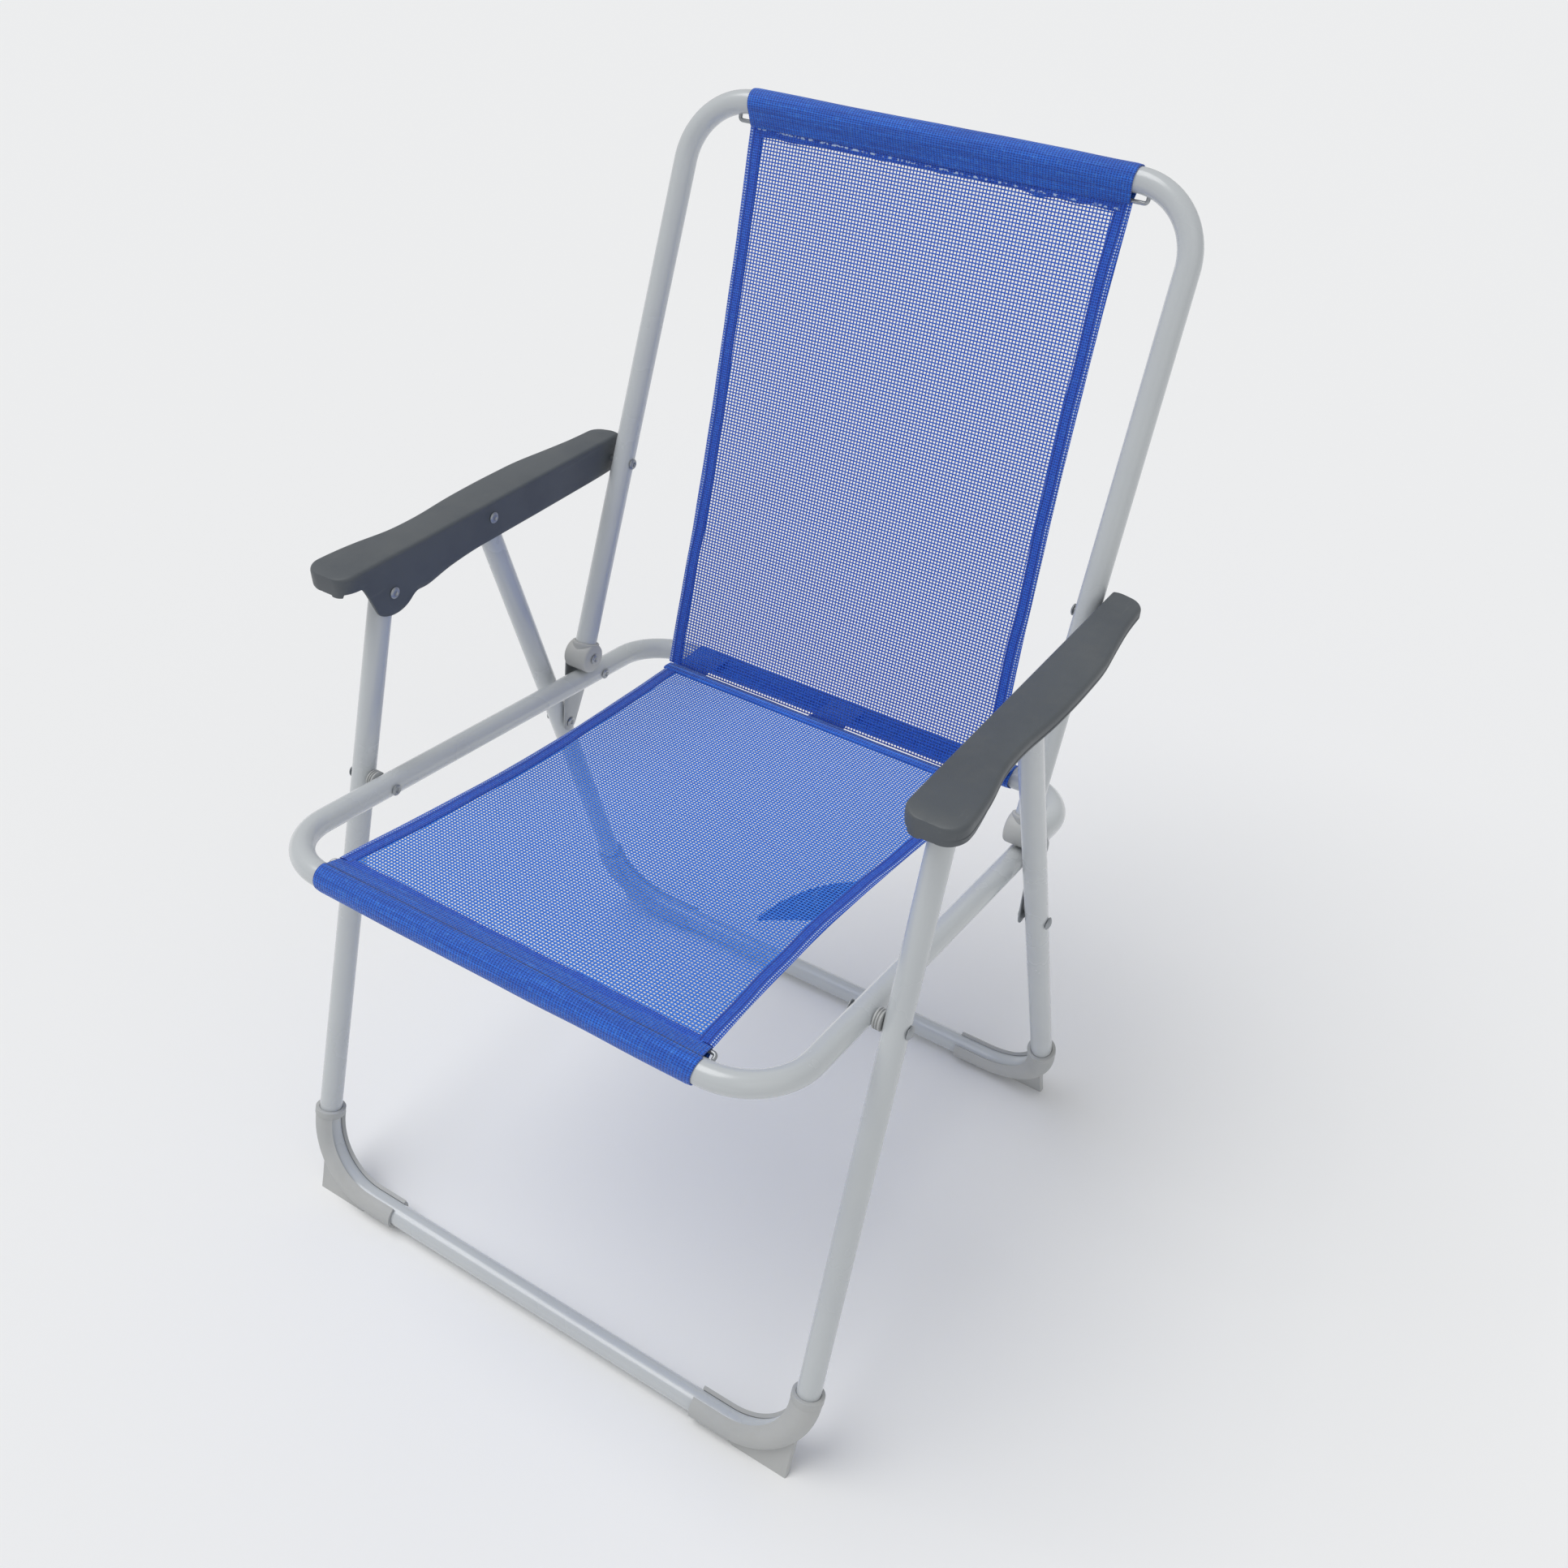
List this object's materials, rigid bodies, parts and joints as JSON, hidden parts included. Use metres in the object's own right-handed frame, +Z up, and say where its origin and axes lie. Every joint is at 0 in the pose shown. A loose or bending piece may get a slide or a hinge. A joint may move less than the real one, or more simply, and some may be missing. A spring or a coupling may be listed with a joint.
{
  "type": "folding camp chair",
  "caption": "Folding camp chair: bent round-tube frames with armrests, link plates, slotted corner feet and an open-mesh sling seat and back.",
  "frame": {"origin": "centre of the footprint at floor level", "axes": "+Z up, the chair faces -Y, the sitter's left is +X"},
  "size_m": [0.554, 0.601, 0.8145],
  "materials": {
    "frame_paint": "light grey gloss powder coat",
    "dark_plastic": "dark slate moulded plastic, fine satin",
    "light_plastic": "light grey moulded plastic, satin",
    "steel": "zinc-plated steel",
    "mesh_cloth": "open coated-yarn mesh, mid blue",
    "band_cloth": "closely woven deep blue band"
  },
  "bodies": {
    "back_frame": {"back_frame": "frame_paint", "collar_left": "light_plastic", "collar_right": "light_plastic", "collar_screw_left": "steel", "collar_screw_right": "steel", "armrest_rear_rivet_left": "steel", "armrest_rear_rivet_right": "steel"},
    "back_sling": {"back_panel": "mesh_cloth", "back_sleeve": "band_cloth", "back_wire": "steel", "back_hem_left": "band_cloth", "back_hem_right": "band_cloth"},
    "armrests": {"armrest_left": "dark_plastic", "armrest_right": "dark_plastic", "armrest_front_rivet_left": "steel", "armrest_front_rivet_right": "steel", "armrest_middle_rivet_left": "steel", "armrest_middle_rivet_right": "steel"},
    "front_legs": {"front_leg_frame": "frame_paint", "front_foot_left": "light_plastic", "front_foot_right": "light_plastic", "front_leg_rivet_left": "steel", "front_leg_rivet_right": "steel"},
    "rear_legs": {"rear_leg_frame": "frame_paint", "rear_foot_left": "light_plastic", "rear_foot_right": "light_plastic", "rear_leg_rivet_left": "steel", "rear_leg_rivet_right": "steel"},
    "links": {"link_plate_left": "steel", "link_plate_right": "steel", "link_stud_left": "steel", "link_stud_right": "steel"},
    "seat": {"seat_frame": "frame_paint", "seat_panel": "mesh_cloth", "seat_sleeve": "band_cloth", "seat_wire": "steel", "junction_hem": "band_cloth", "rear_sleeve": "band_cloth", "label": "band_cloth", "seat_hem_left": "band_cloth", "seat_hem_right": "band_cloth", "seat_front_rivet_left": "steel", "seat_front_rivet_right": "steel", "spacer_bushing_left": "light_plastic", "spacer_bushing_right": "light_plastic", "seat_rear_rivet_left": "steel", "seat_rear_rivet_right": "steel"}
  },
  "joints": [
    {"name": "armrest_fold", "type": "hinge", "parent": "back_frame", "child": "armrests", "pos_m": [0, 0.15919, 0.5218], "axis": [-1, 0, 0], "range_deg": [0, 98]},
    {"name": "front_leg_swing", "type": "hinge", "parent": "armrests", "child": "front_legs", "pos_m": [0, -0.1091, 0.5258], "axis": [-1, 0, 0], "range_deg": [-95.2, 0]},
    {"name": "rear_leg_swing", "type": "hinge", "parent": "armrests", "child": "rear_legs", "pos_m": [0, 0.006, 0.5357], "axis": [-1, 0, 0], "range_deg": [-60.4, 0]},
    {"name": "link_swing", "type": "hinge", "parent": "back_frame", "child": "links", "pos_m": [0, 0.0843, 0.3597], "axis": [-1, 0, 0], "range_deg": [0, 180.1]},
    {"name": "seat_swing", "type": "hinge", "parent": "links", "child": "seat", "pos_m": [0, 0.10054, 0.33317], "axis": [-1, 0, 0], "range_deg": [-83.1, 0]},
    {"name": "sling_swing", "type": "hinge", "parent": "back_frame", "child": "back_sling", "pos_m": [0, 0.2892, 0.8032], "axis": [-1, 0, 0], "range_deg": [0, 7.6]}
  ],
  "couplings": [
    {"joint": "front_leg_swing", "follows": "armrest_fold", "ratio": -0.9694},
    {"joint": "rear_leg_swing", "follows": "armrest_fold", "ratio": -0.6153},
    {"joint": "link_swing", "follows": "armrest_fold", "ratio": 1.8367},
    {"joint": "seat_swing", "follows": "armrest_fold", "ratio": -0.8469},
    {"joint": "sling_swing", "follows": "armrest_fold", "ratio": 0.0765}
  ]
}
